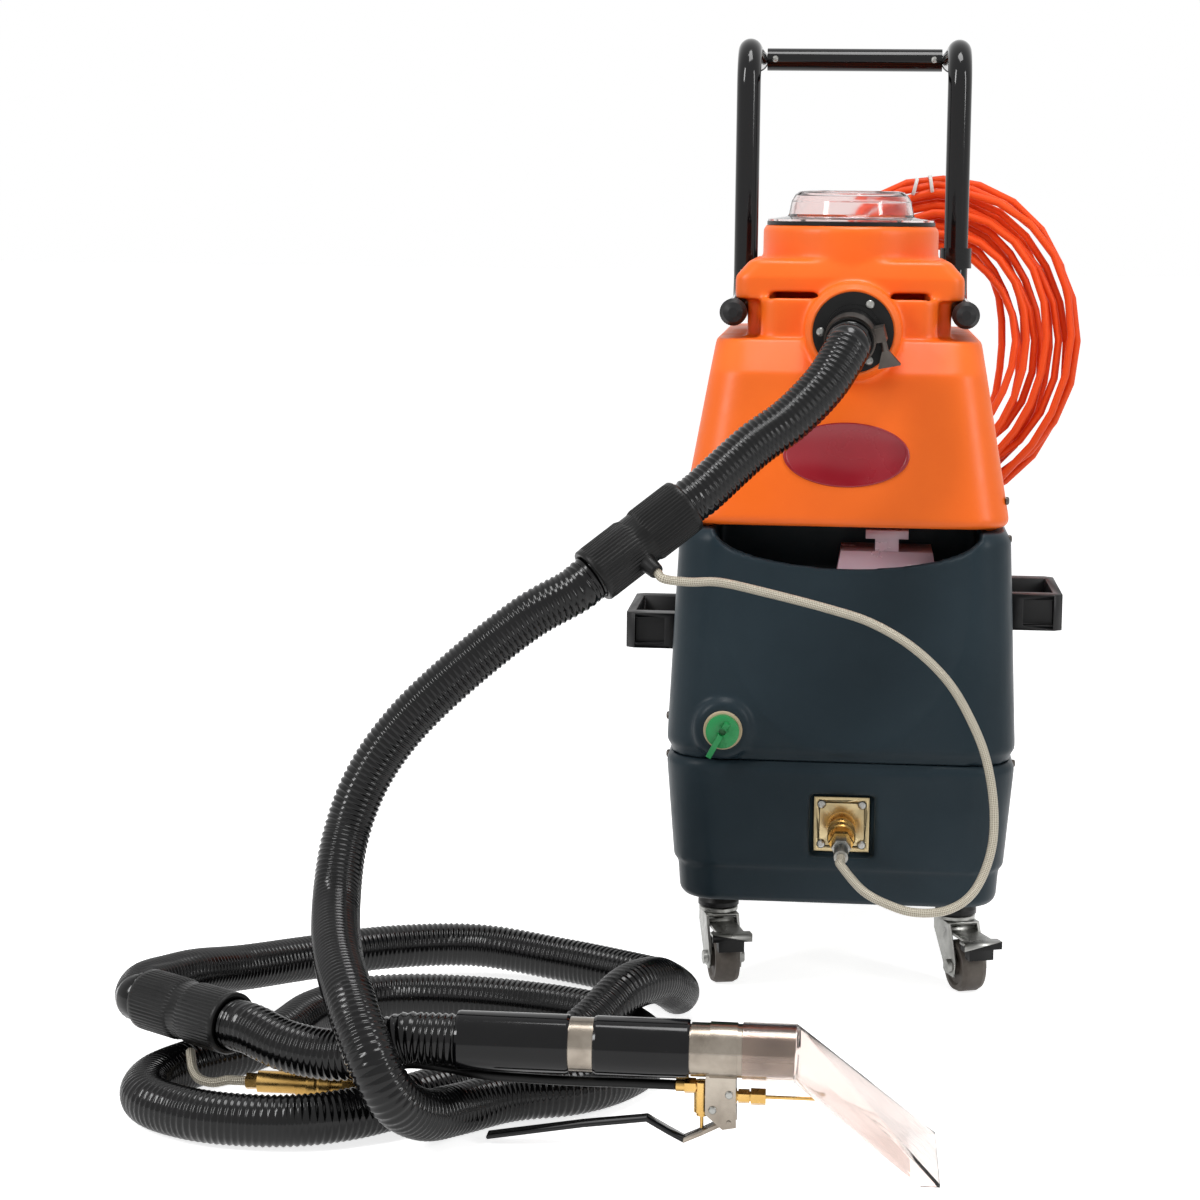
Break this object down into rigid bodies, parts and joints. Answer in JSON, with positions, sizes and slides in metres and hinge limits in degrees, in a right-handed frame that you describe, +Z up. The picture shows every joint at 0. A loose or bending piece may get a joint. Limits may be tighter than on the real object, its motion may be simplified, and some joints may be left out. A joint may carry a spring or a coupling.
{
  "type": "spot extractor",
  "caption": "Two-tank wet vacuum cleaner on casters, with a ribbed suction hose, braided solution hose, trigger wand with a clear head, and a mains lead coiled on its handle.",
  "frame": {"origin": "on the floor, below the middle of the box round the machine and its wand, without hoses and mains lead", "axes": "+X to the right seen from the front, +Y from the front to the rear, +Z up"},
  "size_m": [0.8773, 1.0929, 0.933],
  "materials": {
    "grey_casing": "satin moulded polyethylene",
    "orange_tank": "satin moulded polyethylene",
    "clear_plastic": "clear moulded plastic",
    "pink_lid": "milky pinkish plastic",
    "black_rubber": "matt",
    "black_plastic": "satin",
    "black_paint": "gloss powder coat",
    "hose_plastic": "satin ribbed hose",
    "zinc": "zinc plated",
    "steel": "brushed",
    "brass": "machined",
    "braid": "braided steel over a plastic hose",
    "wheel_tread": "worn matt",
    "rear_wheel": "matt",
    "green_plastic": "satin",
    "red_plastic": "satin",
    "motor_metal": "cast",
    "white_plastic": "satin",
    "orange_cord": "satin sheath"
  },
  "bodies": {
    "machine": {"base_housing": "grey_casing", "chassis_plate": "zinc", "solution_tank": "grey_casing", "recovery_tank": "orange_tank", "lid_gasket": "black_rubber", "vacuum_motor": "motor_metal", "solution_pump": "motor_metal", "standpipe": "white_plastic", "inlet_flange": "black_rubber", "hose_clamp": "zinc", "handle_tube_left": "black_paint", "handle_tube_right": "black_paint", "handle_crossbar": "black_paint", "handle_end_caps": "black_plastic", "carry_handle_left": "black_plastic", "carry_handle_right": "black_plastic", "coupler_plate": "brass", "coupler_nipple": "brass", "hose_ferrule": "zinc", "caster_cones": "black_plastic", "rear_axle": "zinc", "drain_spout": "black_plastic", "cord_gland": "black_rubber", "cord_hook": "black_paint", "screws": "zinc", "hose_upper": "hose_plastic", "hose_main": "hose_plastic", "hose_tool": "hose_plastic", "hose_cuffs": "black_rubber", "solution_hose": "braid", "tool_coupler": "brass", "tool_line": "black_plastic", "wand_tube": "steel", "wand_sleeves": "black_rubber", "wand_head": "clear_plastic", "valve_body": "brass", "cord_lead": "orange_cord", "cord_coil": "orange_cord", "cord_tail": "orange_cord", "power_plug": "black_rubber", "feed_line": "braid"},
    "lid": {"lid_dome": "clear_plastic"},
    "float": {"float_ball": "white_plastic"},
    "fill_cover": {"fill_lid": "pink_lid"},
    "drain_tap": {"drain_key": "green_plastic"},
    "machine_collar": {"coupler_collar": "brass"},
    "caster_left": {"caster_fork_left": "zinc"},
    "caster_right": {"caster_fork_right": "zinc"},
    "front_wheel_left": {"caster_wheel_left": "wheel_tread"},
    "front_wheel_right": {"caster_wheel_right": "wheel_tread"},
    "pedal_left": {"brake_pedal_left": "zinc"},
    "pedal_right": {"brake_pedal_right": "zinc"},
    "back_wheel_left": {"rear_wheel_left": "rear_wheel"},
    "back_wheel_right": {"rear_wheel_right": "rear_wheel"},
    "vacuum_rocker": {"vacuum_switch": "red_plastic"},
    "pump_rocker": {"pump_switch": "green_plastic"},
    "dump_lever": {"drain_lever": "red_plastic"},
    "wand_collar": {"tool_collar": "brass"},
    "stem": {"valve_stem": "brass"},
    "trigger": {"trigger_lever": "black_plastic"}
  },
  "joints": [
    {"name": "caster_swivel_left", "type": "hinge", "parent": "machine", "child": "caster_left", "pos_m": [-0.071, 0.0295, 0.071], "axis": [0, 0, 1], "continuous": true},
    {"name": "caster_wheel_spin_left", "type": "hinge", "parent": "caster_left", "child": "front_wheel_left", "pos_m": [-0.06453, 0.00535, 0.025], "axis": [0.9659, 0.2588, 0], "continuous": true},
    {"name": "brake_pedal_lift_left", "type": "hinge", "parent": "caster_left", "child": "pedal_left", "pos_m": [-0.06789, 0.01791, 0.058], "axis": [0.9659, 0.2588, 0], "range_deg": [-6, 0]},
    {"name": "rear_wheel_spin_left", "type": "hinge", "parent": "machine", "child": "back_wheel_left", "pos_m": [-0.092, 0.3575, 0.09], "axis": [1, 0, 0], "continuous": true},
    {"name": "caster_swivel_right", "type": "hinge", "parent": "machine", "child": "caster_right", "pos_m": [0.161, 0.0295, 0.071], "axis": [0, 0, 1], "continuous": true},
    {"name": "caster_wheel_spin_right", "type": "hinge", "parent": "caster_right", "child": "front_wheel_right", "pos_m": [0.17037, 0.00632, 0.025], "axis": [0.9272, 0.3746, 0], "continuous": true},
    {"name": "brake_pedal_lift_right", "type": "hinge", "parent": "caster_right", "child": "pedal_right", "pos_m": [0.1655, 0.01837, 0.058], "axis": [0.9272, 0.3746, 0], "range_deg": [-6, 0]},
    {"name": "rear_wheel_spin_right", "type": "hinge", "parent": "machine", "child": "back_wheel_right", "pos_m": [0.182, 0.3575, 0.09], "axis": [1, 0, 0], "continuous": true},
    {"name": "lid_lift", "type": "slide", "parent": "machine", "child": "lid", "axis": [0, 0, 1], "range_m": [0, 0.03]},
    {"name": "float_rise", "type": "slide", "parent": "machine", "child": "float", "axis": [0, 0, 1], "range_m": [0, 0.0515]},
    {"name": "fill_lid_lift", "type": "slide", "parent": "machine", "child": "fill_cover", "axis": [0, 0, 1], "range_m": [0, 0.0045]},
    {"name": "drain_turn", "type": "hinge", "parent": "machine", "child": "drain_tap", "pos_m": [-0.064, -0.1025, 0.2695], "axis": [0, 1, 0], "range_deg": [0, 90]},
    {"name": "machine_collar_slide", "type": "slide", "parent": "machine", "child": "machine_collar", "axis": [0, -0.9903, -0.1392], "range_m": [0, 0.005], "stiffness_N_per_m": 400},
    {"name": "vacuum_rocker_tilt", "type": "hinge", "parent": "machine", "child": "vacuum_rocker", "pos_m": [0.005, 0.3815, 0.19], "axis": [1, 0, 0], "range_deg": [0, 16]},
    {"name": "pump_rocker_tilt", "type": "hinge", "parent": "machine", "child": "pump_rocker", "pos_m": [0.045, 0.3815, 0.19], "axis": [1, 0, 0], "range_deg": [0, 16]},
    {"name": "dump_lever_turn", "type": "hinge", "parent": "machine", "child": "dump_lever", "pos_m": [-0.035, 0.4005, 0.517], "axis": [0, 0, 1], "range_deg": [0, 90]},
    {"name": "wand_collar_slide", "type": "slide", "parent": "machine", "child": "wand_collar", "axis": [-1, 0, 0], "range_m": [0, 0.005], "stiffness_N_per_m": 400},
    {"name": "trigger_squeeze", "type": "hinge", "parent": "machine", "child": "trigger", "pos_m": [-0.037, -0.4775, 0.028], "axis": [0, 1, 0], "range_deg": [0, 10], "stiffness_Nm_per_rad": 2},
    {"name": "valve_stem_lift", "type": "slide", "parent": "machine", "child": "stem", "axis": [0, 0, 1], "range_m": [0, 0.0039]}
  ],
  "couplings": [
    {"joint": "valve_stem_lift", "follows": "trigger_squeeze", "m_per_rad": 0.022}
  ]
}
